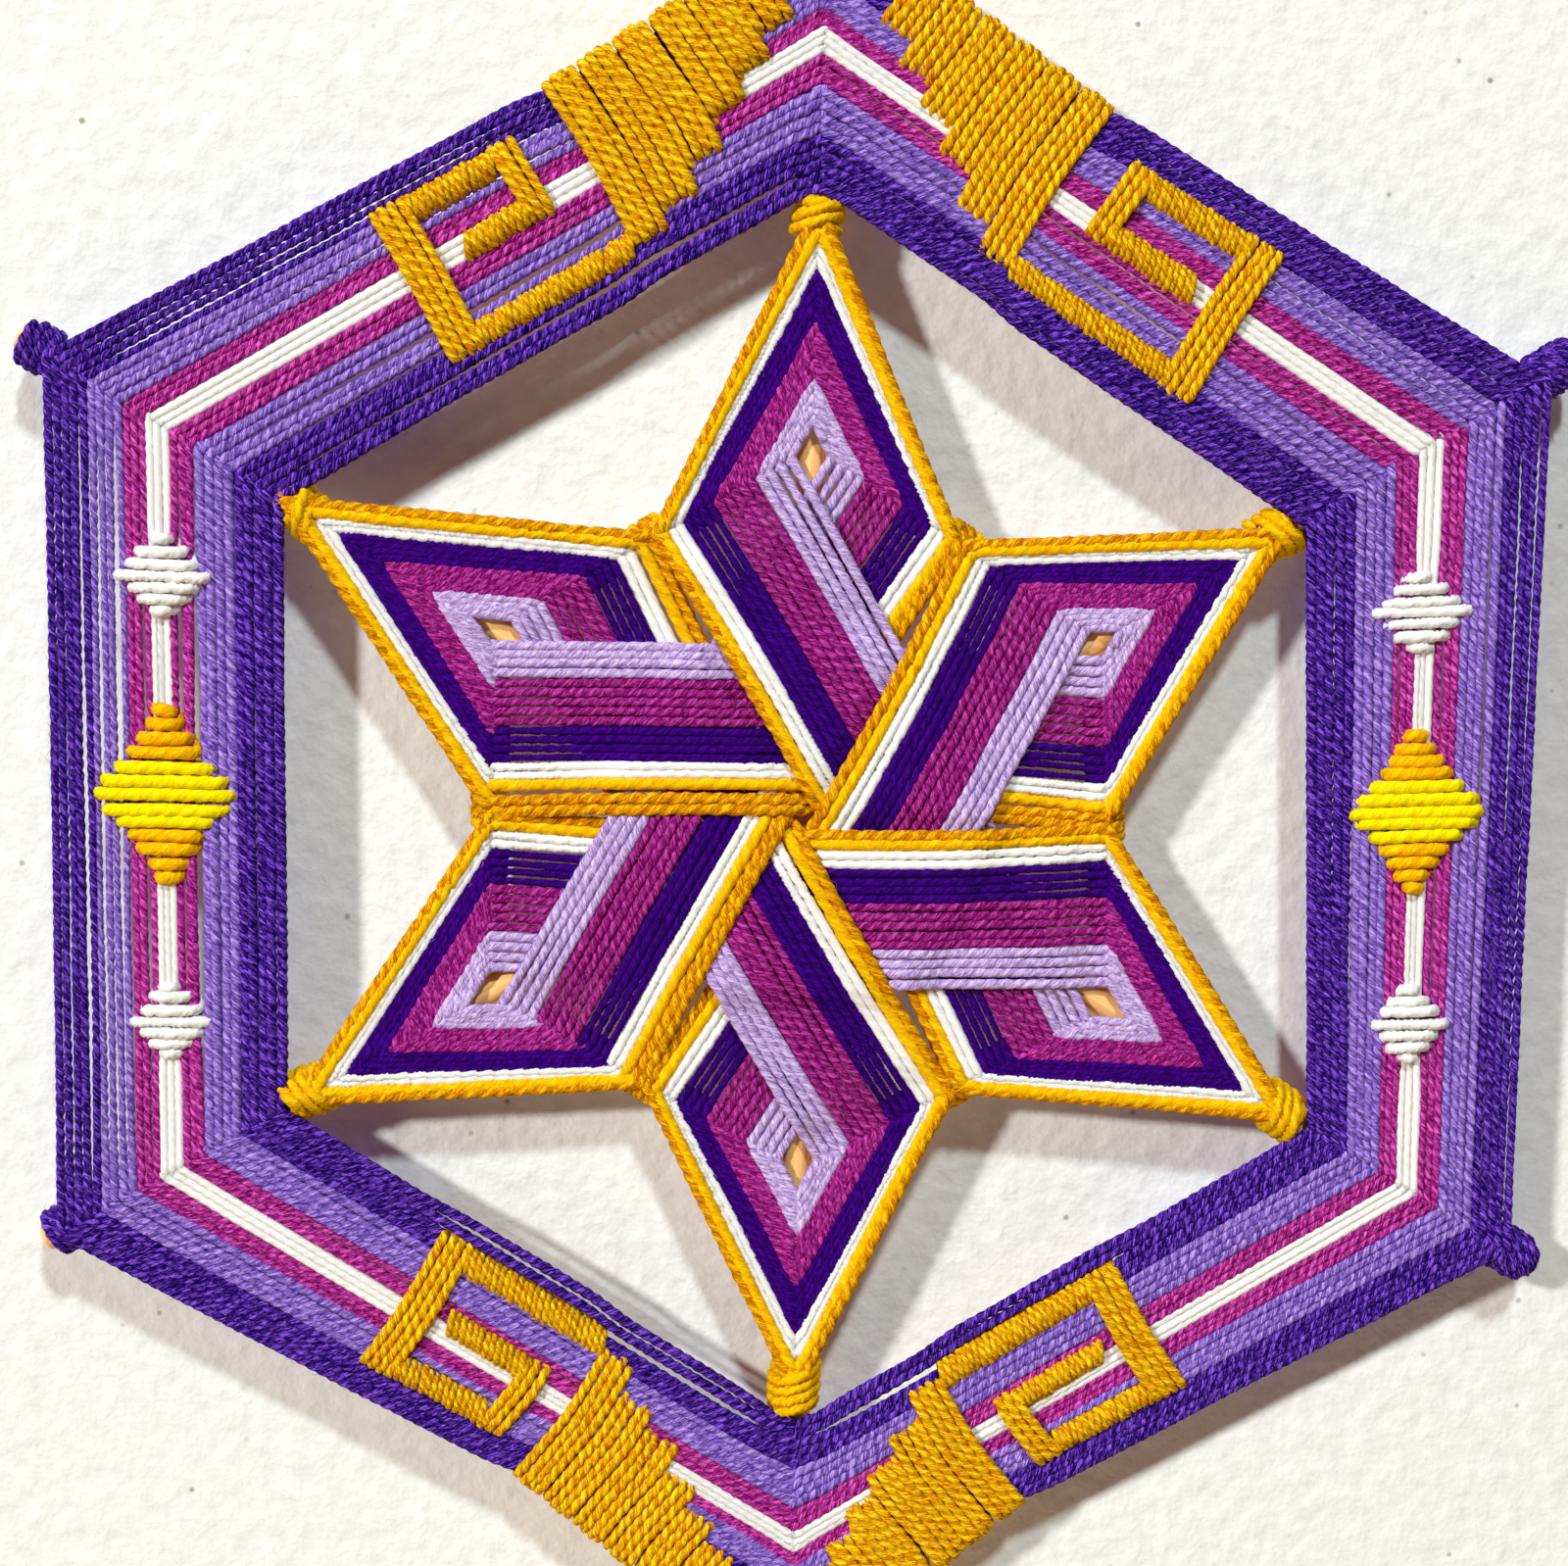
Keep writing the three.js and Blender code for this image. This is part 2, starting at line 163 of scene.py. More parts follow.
# For each stick: its node, its lean, its two arms and the layer that it keeps in the crossing.
long_sticks = (
    ("stick_upright", 0, (0, 3), lap_third + lap_play, stick_radius),
    ("stick_rising", 60, (1, 4), -lap_third + lap_play, lap_third - lap_play),
    ("stick_falling", -60, (5, 2), -stick_radius, -lap_third - lap_play),
)
for name, turn, arms, kept_from, kept_to in long_sticks:
    upper_trim, lower_trim = [stub_trims[arm] for arm in arms]
    stick = dowel("dowel_" + name, stick_radius, stick_length - upper_trim - lower_trim)
    chamfer = stick.modifiers.new("chamfer", "BEVEL")
    chamfer.width = end_chamfer * mm
    chamfer.segments = 3
    chamfer.limit_method = "ANGLE"
    chamfer.angle_limit = math.radians(60)
    bpy.ops.object.modifier_apply(modifier="chamfer")
    stand_stick(stick, 0, (0, 0, (lower_trim - upper_trim) / 2 * mm))
    if kept_from > -stick_radius:
        cut_lap(stick, -2 * stick_radius, kept_from)
    if kept_to < stick_radius:
        cut_lap(stick, kept_to, 2 * stick_radius)
    bpy.ops.object.mode_set(mode="EDIT")
    bpy.ops.mesh.select_all(action="SELECT")
    bpy.ops.mesh.bisect(plane_co=(0, 0, 0), plane_no=(0, 0, 1))
    bpy.ops.object.mode_set(mode="OBJECT")
    note_grain(stick)
    slopes = [math.tan(math.radians(arm_turns[arm])) for arm in arms]
    for vertex in stick.data.vertices:
        vertex.co.x -= vertex.co.z * (slopes[0] if vertex.co.z > 0 else slopes[1])
    stand_stick(stick, math.radians(turn))
    finish_stick(stick, name)

# Cross sticks
# Six thinner dowels that run from one long stick to the next, through the eyes of the star.
# Their ends are sawn at a slant and butt against the flanks of the long sticks.
cross_radius = 2.0
eye_outs = (67.2, 63.5, 66.9, 65.0, 65.0, 64.8)
butt_gap = 0.3


def arm_ways(arm):
    arm = arm % 6
    angle = math.pi / 2 - arm * math.pi / 3 + math.radians(arm_turns[arm])
    out = np.array([math.cos(angle), math.sin(angle)])
    clockwise = np.array([math.sin(angle), -math.cos(angle)])
    return out, clockwise


def eye(arm):
    return arm_ways(arm)[0] * eye_outs[arm % 6]


def unit(way):
    return way / np.linalg.norm(way)


for arm in range(6):
    way = eye(arm + 1) - eye(arm)
    middle = (eye(arm) + eye(arm + 1)) / 2 * mm
    stick = dowel(f"dowel_cross_{arm + 1}", cross_radius, np.linalg.norm(way))
    note_grain(stick)
    stand_stick(stick, math.atan2(way[0], way[1]), (middle[0], 0, middle[1]))
    flank = (stick_radius + butt_gap) * mm
    select_only(stick)
    bpy.ops.object.mode_set(mode="EDIT")
    for across in (arm_ways(arm)[1], -arm_ways(arm + 1)[1]):
        bpy.ops.mesh.select_all(action="SELECT")
        bpy.ops.mesh.bisect(
            plane_co=(across[0] * flank, 0, across[1] * flank),
            plane_no=(across[0], 0, across[1]),
            use_fill=True,
            clear_inner=True,
        )
    bpy.ops.object.mode_set(mode="OBJECT")
    finish_stick(stick, f"cross_stick_{arm + 1}")

# Star
# Six diamond-shaped petals of two-ply yarn, wound round the arms of the cross from each eye
# outwards. Each strand makes a full turn round every stick, and from the left arm of a petal it
# runs past the centre to the second petal on, so that each petal laps over the one before it.
draws = np.random.default_rng(20)
sides_of_yarn = 8
beads_per_ply = 6
hair_radius = 0.03
hair_reach = (0.5, 1.3)
hairs_per_mm = 0.5


def yarn_section(name, hollow):
    outline = bpy.data.curves.new(name, "CURVE")
    outline.dimensions = "2D"
    spline = outline.splines.new("POLY")
    spline.points.add(sides_of_yarn - 1)
    for corner in range(sides_of_yarn):
        angle = -2 * math.pi * corner / sides_of_yarn
        reach = ((1 + hollow) + (1 - hollow) * math.cos(2 * angle)) / 2 * mm
        spline.points[corner].co = (reach * math.cos(angle), reach * math.sin(angle), 0, 1)
    spline.use_cyclic_u = True
    section = bpy.data.objects.new(name, outline)
    bpy.context.scene.collection.objects.link(section)
    return section


soft_yarn = yarn_section("soft_yarn", 0.88)
plied_yarn = yarn_section("plied_yarn", 0.78)


def yarn_finish(name, dark, plain, light, painted_groove_shade):
    material = bpy.data.materials.new(name)
    material.use_nodes = True
    nodes = material.node_tree.nodes
    links = material.node_tree.links
    shader = nodes["Principled BSDF"]
    shader.inputs["Roughness"].default_value = 0.9
    shader.inputs["Specular IOR Level"].default_value = 0.04
    laid = nodes.new("ShaderNodeUVMap")
    laid.uv_map = "UVMap"
    split = nodes.new("ShaderNodeSeparateXYZ")
    links.new(laid.outputs["UV"], split.inputs["Vector"])
    # The place around the yarn is carried on a circle, so that the fibres close up.
    around = nodes.new("ShaderNodeMath")
    around.operation = "MULTIPLY"
    around.inputs[1].default_value = 2 * math.pi
    links.new(split.outputs["Y"], around.inputs[0])
    ring_x = nodes.new("ShaderNodeMath")
    ring_x.operation = "COSINE"
    links.new(around.outputs["Value"], ring_x.inputs[0])
    ring_y = nodes.new("ShaderNodeMath")
    ring_y.operation = "SINE"
    links.new(around.outputs["Value"], ring_y.inputs[0])
    joined = nodes.new("ShaderNodeCombineXYZ")
    links.new(split.outputs["X"], joined.inputs["X"])
    links.new(ring_x.outputs["Value"], joined.inputs["Y"])
    links.new(ring_y.outputs["Value"], joined.inputs["Z"])
    stretch = nodes.new("ShaderNodeMapping")
    stretch.inputs["Scale"].default_value = (9.0, 2.6, 2.6)
    links.new(joined.outputs["Vector"], stretch.inputs["Vector"])
    fibres = nodes.new("ShaderNodeTexNoise")
    fibres.inputs["Scale"].default_value = 1.0
    fibres.inputs["Detail"].default_value = 4
    fibres.inputs["Roughness"].default_value = 0.75
    links.new(stretch.outputs["Vector"], fibres.inputs["Vector"])
    # The fibres vary at random between the dark, plain and light colours. This is partly the wool's
    # own uneven tone and partly a painted highlight, where the light flecks stand in for the sheen
    # of the wool.
    tint = nodes.new("ShaderNodeValToRGB")
    tint.color_ramp.elements[0].position = 0.425
    tint.color_ramp.elements[0].color = dark
    tint.color_ramp.elements[1].position = 0.575
    tint.color_ramp.elements[1].color = light
    middle = tint.color_ramp.elements.new(0.5)
    middle.color = plain
    links.new(fibres.outputs["Fac"], tint.inputs["Fac"])
    # The grooves between the two plies are darkened towards 0.6 of the dark colour. This is painted
    # shade, where the creases between the plies lie in shade.
    twice = nodes.new("ShaderNodeMath")
    twice.operation = "MULTIPLY"
    twice.inputs[1].default_value = 4 * math.pi
    links.new(split.outputs["Y"], twice.inputs[0])
    plies = nodes.new("ShaderNodeMath")
    plies.operation = "COSINE"
    links.new(twice.outputs["Value"], plies.inputs[0])
    depth = nodes.new("ShaderNodeMapRange")
    depth.inputs["From Min"].default_value = -1
    depth.inputs["From Max"].default_value = 0.5
    depth.inputs["To Min"].default_value = painted_groove_shade
    depth.inputs["To Max"].default_value = 0
    links.new(plies.outputs["Value"], depth.inputs["Value"])
    shade = nodes.new("ShaderNodeMix")
    shade.data_type = "RGBA"
    shade.inputs["B"].default_value = (*[0.6 * level for level in dark[:3]], 1)
    links.new(depth.outputs["Result"], shade.inputs["Factor"])
    links.new(tint.outputs["Color"], shade.inputs["A"])
    links.new(shade.outputs["Result"], shader.inputs["Base Color"])
    relief = nodes.new("ShaderNodeBump")
    relief.inputs["Strength"].default_value = 0.8
    relief.inputs["Distance"].default_value = 0.0003
    links.new(fibres.outputs["Fac"], relief.inputs["Height"])
    links.new(relief.outputs["Normal"], shader.inputs["Normal"])
    return material


def any_phase():
    return draws.uniform(0, 6.3)


def even_steps(route, step):
    lengths = np.linalg.norm(np.diff(route[:, :3], axis=0), axis=1)
    reach = np.concatenate([[0], np.cumsum(lengths)])
    count = max(4, int(round(reach[-1] / step)))
    stations = np.linspace(0, reach[-1], count + 1)
    return np.column_stack([np.interp(stations, reach, values) for values in route.T])


def eased(route, times):
    for _ in range(times):
        inner = (route[:-2] + 2 * route[1:-1] + route[2:]) / 4
        route = np.concatenate([route[:1], inner, route[-1:]])
    return route


def loose_fibres(name, routes, thickness):
    # Short hairs that stand out from the yarn, each a fine strand of two straight lengths.
    hairs = bpy.data.curves.new(name, "CURVE")
    hairs.dimensions = "3D"
    hairs.bevel_depth = hair_radius * mm
    hairs.bevel_resolution = 0
    for beads in routes:
        way = np.gradient(beads, axis=0)
        way /= np.linalg.norm(way, axis=1)[:, None]
        length = np.linalg.norm(np.diff(beads, axis=0), axis=1).sum()
        count = int(length * hairs_per_mm)
        roots = draws.integers(2, len(beads) - 2, count)
        lean = draws.normal(0, 1, (count, 3))
        lean -= (lean * way[roots]).sum(1)[:, None] * way[roots]
        lean /= np.linalg.norm(lean, axis=1)[:, None]
        reach = draws.uniform(*hair_reach, count)[:, None]
        along = way[roots] * draws.choice([-1, 1], count)[:, None]
        start = beads[roots] + 0.8 * thickness * lean
        bend = start + reach * (0.45 * lean + 0.5 * along)
        tip = bend + reach * (0.1 * lean + 0.6 * along + draws.normal(0, 0.25, (count, 3)))
        for points in np.stack([start, bend, tip], axis=1):
            spline = hairs.splines.new("POLY")
            spline.points.add(2)
            places = np.column_stack([points[:, 0], -points[:, 2], points[:, 1]]) * mm
            spline.points.foreach_set("co", np.column_stack([places, np.ones(3)]).ravel())
            spline.points.foreach_set("radius", (1, 0.8, 0.4))
    tuft = bpy.data.objects.new(name, hairs)
    bpy.context.scene.collection.objects.link(tuft)
    select_only(tuft)
    bpy.ops.object.convert(target="MESH")
    return tuft


def spin_yarn(name, routes, thickness, ply_length, finish, section):
    spun = bpy.data.curves.new(name, "CURVE")
    spun.dimensions = "3D"
    spun.twist_mode = "MINIMUM"
    spun.bevel_mode = "OBJECT"
    spun.bevel_object = section
    step = ply_length / beads_per_ply
    reaches = []
    laid_routes = []
    for route in routes:
        beads = eased(even_steps(np.asarray(route, float), step), 2)
        fullness = beads[:, 3] if beads.shape[1] == 4 else 1.0
        beads = beads[:, :3]
        laid_routes.append(beads)
        count = len(beads)
        spline = spun.splines.new("POLY")
        spline.points.add(count - 1)
        places = np.column_stack([beads[:, 0], -beads[:, 2], beads[:, 1]]) * mm
        spline.points.foreach_set("co", np.column_stack([places, np.ones(count)]).ravel())
        reach = np.arange(count) * step
        slack = np.sin(reach / 17 + any_phase()) * 0.9
        tilt = -2 * math.pi * reach / ply_length + slack + any_phase()
        spline.points.foreach_set("tilt", tilt)
        slow_swell = np.sin(reach / 7.3 + any_phase())
        quick_swell = np.sin(reach / 2.9 + any_phase())
        widths = thickness * fullness * (1 + 0.035 * (slow_swell + quick_swell))
        widths[[0, -1]] = 0
        widths[[1, -2]] *= 0.75
        spline.points.foreach_set("radius", widths)
        reaches.append(reach + draws.uniform(0, 400))
    piece = bpy.data.objects.new(name, spun)
    bpy.context.scene.collection.objects.link(piece)
    select_only(piece)
    bpy.ops.object.convert(target="MESH")
    mesh = piece.data
    mesh.name = name
    along = np.repeat(np.concatenate(reaches), sides_of_yarn)
    corners = np.zeros(len(mesh.loops), np.int32)
    mesh.loops.foreach_get("vertex_index", corners)
    uv_map = mesh.uv_layers["UVMap"]
    laid = np.zeros(len(mesh.loops) * 2, np.float32)
    uv_map.data.foreach_get("uv", laid)
    laid[0::2] = along[corners] / 10
    uv_map.data.foreach_set("uv", laid)
    bpy.ops.object.mode_set(mode="EDIT")
    bpy.ops.mesh.select_all(action="SELECT")
    bpy.ops.mesh.remove_doubles(threshold=1e-7)
    bpy.ops.object.mode_set(mode="OBJECT")
    bpy.ops.object.shade_smooth()
    tuft = loose_fibres(name + "_fibres", laid_routes, thickness)
    clear_selection()
    tuft.select_set(True)
    piece.select_set(True)
    bpy.context.view_layer.objects.active = piece
    bpy.ops.object.join()
    mesh.materials.clear()
    mesh.materials.append(finish)
    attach(piece, "root")
    return piece


def gentle(x):
    x = np.clip(x, 0, 1)
    return x * x * (3 - 2 * x)


turn_points = 36
half_turn = turn_points // 2
turn_settle = 1.5


def turn_round(origin, along, way_in, way_out, radius, thread, enter=0, leave=0):
    # A full turn over the front of a stick, round its back and over its front again.
    across = np.array([along[1], -along[0]])
    if across @ way_in < 0:
        across = -across
    lean_in = (way_in @ along) / (way_in @ across)
    lean_out = (way_out @ along) / (way_out @ across)
    degrees = np.linspace(120, -300, turn_points)
    angles = np.radians(degrees)
    low = radius + thread
    high = low + 1.7 * thread
    rise = gentle((degrees - 65) / 45) + gentle((-degrees - 245) / 45)
    reach = low + (high - low) * rise
    over = reach * np.cos(angles)
    tucked = turn_settle * np.tanh(over / turn_settle)
    coming = enter + lean_in * np.where(over < 0, over, tucked)
    going = leave + lean_out * np.where(over > 0, over, tucked)
    back_from = enter + lean_in * turn_settle * math.tanh(low / turn_settle)
    back_to = leave - lean_out * turn_settle * math.tanh(high / turn_settle)
    station = back_from + (back_to - back_from) * gentle(-angles / math.pi)
    station = np.where(degrees > 0, coming, station)
    station = np.where(degrees < -180, going, station)
    plan = origin + np.outer(station, along) + np.outer(over, across)
    return np.column_stack([plan, reach * np.sin(angles)])


def straight(start, end, sway):
    # A taut run between two points that strays a little to the side.
    length = np.linalg.norm(end - start)
    share = np.linspace(0, 1, max(4, int(length / 2)))[1:-1, None]
    way = unit((end - start)[:2])
    side = np.array([way[1], -way[0], 0])
    wave = np.sin(math.pi * share) * draws.normal(0, sway)
    wave = wave + np.sin(2 * math.pi * share) * draws.normal(0, 0.5 * sway)
    ripple = np.sin(share * length / draws.uniform(5, 9) + any_phase()) * 0.12 * sway
    lift = np.sin(math.pi * share) * draws.normal(0, 0.6 * sway)
    return start + share * (end - start) + side * (wave + ripple) + np.array([0, 0, 1]) * lift


# A ring is known by its distance from the eye of its petal. The petals differ a little in length
# and spread, and each ring has its reach along the arm and its shift where it passes the centre.
petal_rings = 32.5
petal_lengths = (1.05, 0.955, 0.97, 1.03, 0.95, 1.04)
petal_spreads = (1.6, 0.2, 0.7, 0.2, 0.2, -1.0)
ring_marks = (0, 10.7, 19.1, 25.5, 28.8, 32.5)
tip_reaches = (0.5, 11.8, 21.1, 30.5, 35.2, 41.5)
middle_shifts = (0.3, 1.4, 1.5, 2.0, 2.2, 1.7)
star_sway = 0.14
layer = 1.65
on_stick = 3.35
over_one = on_stick + layer
seam_slope = 0.577
rise_slope = 0.866
lap_rise = 6
end_ease = 8
taut_ease = 22


def cross_point(petal, hand, ring):
    way = eye(petal + hand) - eye(petal)
    spread = petal_spreads[petal % 6] * gentle(ring / 8) * gentle((petal_rings - ring) / 4)
    return eye(petal) + way * (ring + spread) / (2 * petal_rings)


def tip_point(petal, ring):
    reach = np.interp(ring, ring_marks, tip_reaches) * petal_lengths[petal % 6]
    return arm_ways(petal)[0] * (eye_outs[petal % 6] + reach)


def chord(start, end, petal, ring, sway, taut):
    # A run past the centre, where the heap of crossing strands holds it a little further out.
    shift = np.interp(ring, ring_marks, middle_shifts)
    offset = petal_rings - ring + shift
    points = straight(start, end, sway)
    way = unit((end - start)[:2])
    half = np.linalg.norm((end - start)[:2]) / 2
    station = (points[:, :2] - (start + end)[:2] / 2) @ way
    outward = np.array([way[1], -way[0]])
    if outward @ arm_ways(petal - 1)[0] < 0:
        outward = -outward
    points[:, :2] += np.outer(shift * (1 - (station / half) ** 2), outward)
    ramp = min(2.2, max(0.9, seam_slope * offset))
    rise_at = (0.5 * offset - 33) / rise_slope
    height = over_one + layer * gentle((station - rise_at) / lap_rise + 0.5)
    for seam in (-seam_slope * offset, seam_slope * offset):
        height = height - layer * gentle((station - seam) / (2 * ramp) + 0.5)
    lead = gentle((station + half) / end_ease)
    trail = gentle((half - station) / end_ease)
    height = start[2] + (height - start[2]) * lead
    height = end[2] + (height - end[2]) * trail
    level = start[2] + (end[2] - start[2]) * (station / (2 * half) + 0.5)
    points[:, 2] = height + 0.5 * (points[:, 2] - level)
    fullness = taut + (1 - taut) * gentle((half - np.abs(station)) / taut_ease)
    return np.column_stack([points, fullness])


def full(points):
    return np.column_stack([points, np.ones(len(points))])


def pressed(turn):
    # The yarn spreads flat where it is drawn round the back of a stick.
    return np.column_stack([turn, 1 + 0.05 * np.clip(-turn[:, 2] - 1, 0, 2.6)])


def star_route(first_petal, edge, pitch, rings, thread, sway, taut, last_band):
    # The strand sets out from the petal before, where the band inside it ended.
    start = cross_point(first_petal - 2, -1, edge - pitch / 6)
    start_way = unit(start - eye(first_petal - 2))
    chord_out = unit(cross_point(first_petal, 1, edge) - start)
    turn = turn_round(start, start_way, chord_out, chord_out, cross_radius, thread)
    route = [pressed(turn[half_turn:])]
    for lap in range(3 * rings + 1):
        petal = first_petal + 2 * lap
        ring = edge + pitch * (lap + 0.5) / 3
        ends = lap == 3 * rings
        right = cross_point(petal, 1, ring)
        left = cross_point(petal, -1, ring)
        tip = tip_point(petal, ring)
        chord_in = unit(right - cross_point(petal - 2, -1, ring))
        chord_out = unit(cross_point(petal + 2, 1, ring) - left)
        upper_right = unit(tip - right)
        upper_left = unit(left - tip)
        right_way = unit(right - eye(petal))
        left_way = unit(left - eye(petal))
        turn = turn_round(right, right_way, chord_in, upper_right, cross_radius, thread)
        slack = taut + draws.normal(0, 0.05)
        route.append(chord(route[-1][-1, :3], turn[0], petal, ring, sway, slack))
        if ends:
            route.append(pressed(turn[:half_turn]))
            break
        route.append(pressed(turn))
        out = arm_ways(petal)[0]
        turn = turn_round(tip, out, upper_right, upper_left, stick_radius, thread)
        route.append(full(straight(route[-1][-1, :3], turn[0], 0.6 * sway)))
        route.append(pressed(turn))
        turn = turn_round(left, left_way, upper_left, chord_out, cross_radius, thread)
        route.append(full(straight(route[-1][-1, :3], turn[0], 0.6 * sway)))
        if lap == 3 * rings - 1 and not last_band:
            route.append(pressed(turn[:half_turn]))
            break
        route.append(pressed(turn))
    return np.concatenate(route)


lavender = yarn_finish(
    "lavender_wool", dye(150, 114, 182), dye(212, 184, 240), dye(236, 212, 255), 0.3
)
plum = yarn_finish("plum_wool", dye(106, 0, 84), dye(164, 26, 134), dye(214, 80, 182), 0.55)
purple = yarn_finish("purple_wool", dye(36, 0, 84), dye(56, 0, 120), dye(76, 8, 146), 0.3)
white = yarn_finish("white_wool", dye(244, 241, 230), dye(255, 253, 247), dye(255, 255, 252), 0.1)
# White wool lets some light through, so that its grooves stay pale.
white_fibres = white.node_tree.nodes["Principled BSDF"]
white_fibres.inputs["Subsurface Weight"].default_value = 0.6
white_fibres.inputs["Subsurface Radius"].default_value = (1, 1, 1)
white_fibres.inputs["Subsurface Scale"].default_value = 0.0008
golden = yarn_finish("golden_wool", dye(240, 164, 0), dye(255, 200, 4), dye(255, 214, 20), 0.2)
amber = yarn_finish("amber_wool", dye(190, 96, 0), dye(240, 166, 4), dye(255, 204, 20), 0.5)

# For each colour: finish, section, first and last ring, rounds, thickness, tautness, ply length.
star_bands = (
    ("lavender", lavender, soft_yarn, 3.4, 10.7, 4, 1.0, 0.9, 5.0),
    ("magenta", plum, plied_yarn, 10.7, 19.1, 5, 0.97, 0.92, 4.4),
    ("indigo", purple, soft_yarn, 19.1, 25.5, 4, 0.92, 0.77, 5.0),
    ("white", white, soft_yarn, 25.5, 28.8, 2, 1.0, 0.95, 6.0),
    ("yellow", golden, soft_yarn, 28.8, 30.9, 1, 1.25, 1.0, 7.0),
    ("mustard", amber, plied_yarn, 30.9, 32.4, 1, 1.25, 1.0, 6.0),
)
for band, finish, section, edge, end, rings, thickness, taut, ply_length in star_bands:
    for first_petal, letter in ((0, "a"), (1, "b")):
        pitch = (end - edge) / rings
        last_band = band == "mustard"
        thread = 0.75 * thickness
        route = star_route(first_petal, edge, pitch, rings, thread, star_sway, taut, last_band)
        name = f"star_{band}_{letter}"
        piece = spin_yarn("yarn_" + name, [route], thickness, ply_length, finish, section)
        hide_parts(name)

# Frame
# Seven stripes of yarn, wound anticlockwise over the six arms from the inside outwards. At each
# arm the strand makes a full turn, and the run to the next arm lies over the one that came in.
# The ornaments draw the strands of a side together where they are lashed round them.
frame_turn = math.cos(math.pi / 6)
frame_ply = 4.4
frame_marks = (94.3, 115.3, 134.5)
# How far the inner, middle and outer strands stand off an even hexagon at each arm.
corner_shifts = (
    (2.6, 4.9, 0.4),
    (-4.0, -1.9, 0.8),
    (0.8, -1.3, 0.0),
    (3.2, 2.7, -4.3),
    (-1.9, -2.6, -0.6),
    (-0.6, 0.5, 1.3),
)
looseness = (0.15, 0.18, 0.15, 0.15, 0.2, 0.15)
gather_ease = 10
parting_ease = 16
parting_spread = 5
run_ease = 12
# Where the strands of a side are drawn together: start, stop, middle, spread and share.
gathers = {
    0: ((-62, -14, 114, 40, 0.06), (-18, 22, 101.2, 3.4, 0.14), (-8, 24, 125.5, 3.4, 0.14)),
    1: ((-46, 46, 115.0, 3.0, 0.34),),
    2: ((24, 64, 114, 40, 0.06), (-10, 28, 101.2, 3.4, 0.14), (-10, 20, 125.5, 3.4, 0.14)),
    3: ((-64, -15, 114, 40, 0.06), (-18, 18, 101.2, 3.4, 0.14), (-12, 18, 125.5, 3.4, 0.14)),
    4: ((-46, 46, 115.0, 3.0, 0.34),),
    5: ((19, 64, 114, 40, 0.06), (-14, 22, 101.2, 3.4, 0.14), (-14, 12, 125.5, 3.4, 0.14)),
}
# Where the strands of a side part: start, stop, place of the gap and its width.
partings = {
    2: ((-14, 50, 95.9, 0.7), (-14, 50, 97.5, 1.3)),
    3: ((-50, 20, 95.9, 0.7), (-50, 20, 97.5, 1.3)),
    5: ((10, 50, 97.5, 0.6),),
}
# How much thinner the strands of a side are drawn out between its ends.
thin_strands = {
    (4, "violet_outer"): 0.24,
    (4, "indigo_outer"): 0.13,
    (1, "indigo_outer"): 0.13,
    (5, "indigo_outer"): 0.15,
    (5, "violet_inner"): 0.1,
}
indigo = yarn_finish("indigo_wool", dye(14, 0, 64), dye(66, 8, 150), dye(152, 98, 246), 0.7)
violet = yarn_finish("violet_wool", dye(84, 50, 150), dye(146, 110, 214), dye(204, 168, 252), 0.5)
magenta = yarn_finish("magenta_wool", dye(110, 0, 86), dye(192, 38, 154), dye(246, 108, 214), 0.6)


def corner_reach(arm, apothem):
    return apothem / frame_turn + np.interp(apothem, frame_marks, corner_shifts[arm % 6])


def side_point(side, apothem, place):
    half = apothem * math.tan(math.pi / 6)
    share = (place + half) / (2 * half)
    first = arm_ways(side)[0] * corner_reach(side, apothem)
    second = arm_ways(side + 1)[0] * corner_reach(side + 1, apothem)
    return first + (second - first) * share


def gathered(side, apothem, place):
    shift = 0
    for start, stop, middle, spread, share in gathers[side]:
        within = gentle((place - start) / gather_ease + 0.5)
        within = within * gentle((stop - place) / gather_ease + 0.5)
        away = apothem - middle
        shift = shift - share * away * math.exp(-((away / spread) ** 2)) * within
    for start, stop, parting, opening in partings.get(side, ()):
        within = gentle((place - start) / parting_ease + 0.5)
        within = within * gentle((stop - place) / parting_ease + 0.5)
        away = apothem - parting
        share = 0.6 if away > 0 else -0.4
        shift = shift + share * opening * math.exp(-((away / parting_spread) ** 2)) * within
    return shift


def frame_run(start, end, side, band, apothem, sway):
    points = straight(start, end, sway)
    way = unit((end - start)[:2])
    outward = np.array([way[1], -way[0]])
    half = np.linalg.norm((end - start)[:2]) / 2
    place = half - (points[:, :2] - start[:2]) @ way
    points[:, :2] += np.outer(gathered(side, apothem, place), outward)
    middle = gentle((half - np.abs(place)) / run_ease)
    taut = 1 - thin_strands.get((side, band), 0) * middle
    return np.column_stack([points, taut])


def frame_route(band, inner, pitch, loops, thread):
    route = []
    stray = draws.normal(0, 0.5, 6 * loops + 2)
    for run in range(6 * loops + 1):
        arm = (1 - run) % 6
        out = arm_ways(arm)[0]
        apothem = inner + pitch * (max(run - 1, 0) / 6) + stray[run] * looseness[arm]
        next_apothem = inner + pitch * (run / 6) + stray[run + 1] * looseness[arm - 1]
        enter = corner_reach(arm, apothem)
        leave = corner_reach(arm, next_apothem)
        way_in = unit(out * enter - arm_ways(arm + 1)[0] * corner_reach(arm + 1, apothem))
        way_out = unit(arm_ways(arm - 1)[0] * corner_reach(arm - 1, next_apothem) - out * leave)
        turn = turn_round(np.zeros(2), out, way_in, way_out, stick_radius, thread, enter, leave)
        turn = pressed(turn)
        if run == 0:
            route.append(turn[half_turn:])
            continue
        route.append(frame_run(route[-1][-1, :3], turn[0, :3], arm, band, apothem, looseness[arm]))
        route.append(turn[:half_turn] if run == 6 * loops else turn)
    return np.concatenate(route)


